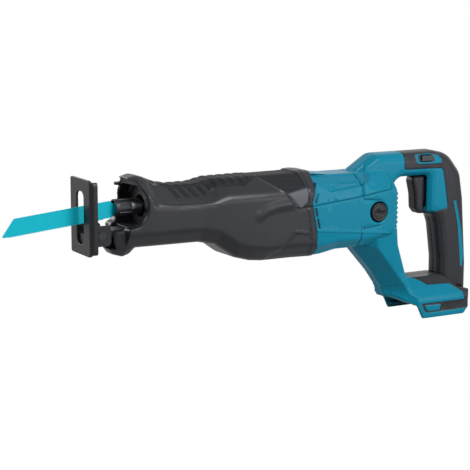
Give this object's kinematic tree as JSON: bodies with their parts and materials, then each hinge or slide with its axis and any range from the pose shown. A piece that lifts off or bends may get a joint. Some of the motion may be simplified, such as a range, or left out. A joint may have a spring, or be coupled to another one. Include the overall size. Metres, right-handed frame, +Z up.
{
  "type": "cordless reciprocating saw",
  "caption": "Cordless reciprocating saw with a tilting, sliding shoe, turning blade clamp, geared crank drive, closed D-handle and slide-in battery foot.",
  "frame": {"origin": "Front face of the shoe, at its middle stage and upright, on the axis of the plunger; the blade points to -X.", "axes": "+X runs back from the shoe to the handle, +Y to the right-hand side of a person holding the saw, +Z up."},
  "size_m": [0.5917, 0.0784, 0.1975],
  "materials": {
    "teal_housing": "fine texture",
    "black_rubber": "matt",
    "dark_plastic": "matt",
    "grey_plastic": "matt",
    "black_steel": "gloss black coating",
    "blade_coat": "satin coating",
    "steel": "ground",
    "dark_steel": "oiled",
    "aluminium": "die cast",
    "laminations": "stamped",
    "copper": "enamelled wire",
    "bronze": "sintered",
    "carbon": "matt",
    "ferrite": "matt"
  },
  "bodies": {
    "casing": {"crank_bearing_upper": "steel", "crank_bearing_lower": "steel", "motor_can": "dark_steel", "magnets": "ferrite", "front_bearing": "steel", "rear_bearing": "steel", "carbon_brushes": "carbon", "brush_holders": "bronze", "brush_springs": "steel", "brush_cap_left": "dark_plastic", "brush_cap_right": "dark_plastic", "rubber_cover": "black_rubber", "gear_housing": "aluminium", "bearing_cap": "steel", "front_bush": "bronze", "rear_bush": "bronze", "plunger_seal": "black_rubber", "motor_housing": "teal_housing", "casing_screws": "steel", "handle_left": "teal_housing", "handle_right": "teal_housing", "grip_rubber_left": "black_rubber", "grip_rubber_right": "black_rubber", "switch": "dark_plastic", "terminal_block": "dark_plastic", "battery_contacts": "bronze"},
    "crank": {"crank_wheel": "dark_steel", "crank_shaft": "steel", "crank_pin": "steel"},
    "armature": {"armature_shaft": "steel", "pinion": "dark_steel", "armature_core": "laminations", "armature_windings": "copper", "commutator": "copper", "fan": "grey_plastic"},
    "plunger": {"plunger": "steel", "blade": "blade_coat", "blade_holder": "steel", "clamp_pin": "steel", "clamp_spring": "steel", "crank_roller": "steel"},
    "clamp_sleeve": {"clamp_sleeve": "dark_steel"},
    "shoe_bar": {"shoe_bar": "steel"},
    "shoe": {"shoe": "black_steel", "shoe_bracket": "black_steel", "shoe_pin": "steel"},
    "shoe_button": {"shoe_button": "dark_plastic"},
    "trigger": {"trigger": "dark_plastic"},
    "lock_off_button": {"lock_off_button": "grey_plastic"}
  },
  "joints": [
    {"name": "crank_spin", "type": "hinge", "parent": "casing", "child": "crank", "pos_m": [0.222, 0, -0.0235], "axis": [0, 0, 1], "continuous": true},
    {"name": "armature_spin", "type": "hinge", "parent": "casing", "child": "armature", "pos_m": [0.222, 0, -0.0235], "axis": [1, 0, 0], "continuous": true},
    {"name": "plunger_slide", "type": "slide", "parent": "casing", "child": "plunger", "axis": [1, 0, 0], "range_m": [0, 0.032]},
    {"name": "clamp_turn", "type": "hinge", "parent": "plunger", "child": "clamp_sleeve", "pos_m": [0.048, 0, 0], "axis": [1, 0, 0], "range_deg": [0, 60], "stiffness_Nm_per_rad": 0.05},
    {"name": "shoe_bar_slide", "type": "slide", "parent": "casing", "child": "shoe_bar", "axis": [1, 0, 0], "range_m": [-0.016, 0.016]},
    {"name": "shoe_tilt", "type": "hinge", "parent": "shoe_bar", "child": "shoe", "pos_m": [0.018, 0, -0.0265], "axis": [0, 1, 0], "range_deg": [-20, 20]},
    {"name": "shoe_button_slide", "type": "slide", "parent": "casing", "child": "shoe_button", "axis": [0, 1, 0], "range_m": [0, 0.006], "stiffness_N_per_m": 400, "springref_m": -0.001},
    {"name": "trigger_slide", "type": "slide", "parent": "casing", "child": "trigger", "axis": [1, 0, 0], "range_m": [0, 0.007], "stiffness_N_per_m": 800, "springref_m": -0.001},
    {"name": "lock_off_slide", "type": "slide", "parent": "casing", "child": "lock_off_button", "axis": [0, 1, 0], "range_m": [0, 0.004], "stiffness_N_per_m": 400, "springref_m": -0.001}
  ],
  "couplings": [
    {"joint": "armature_spin", "follows": "crank_spin", "ratio": 3.9}
  ]
}
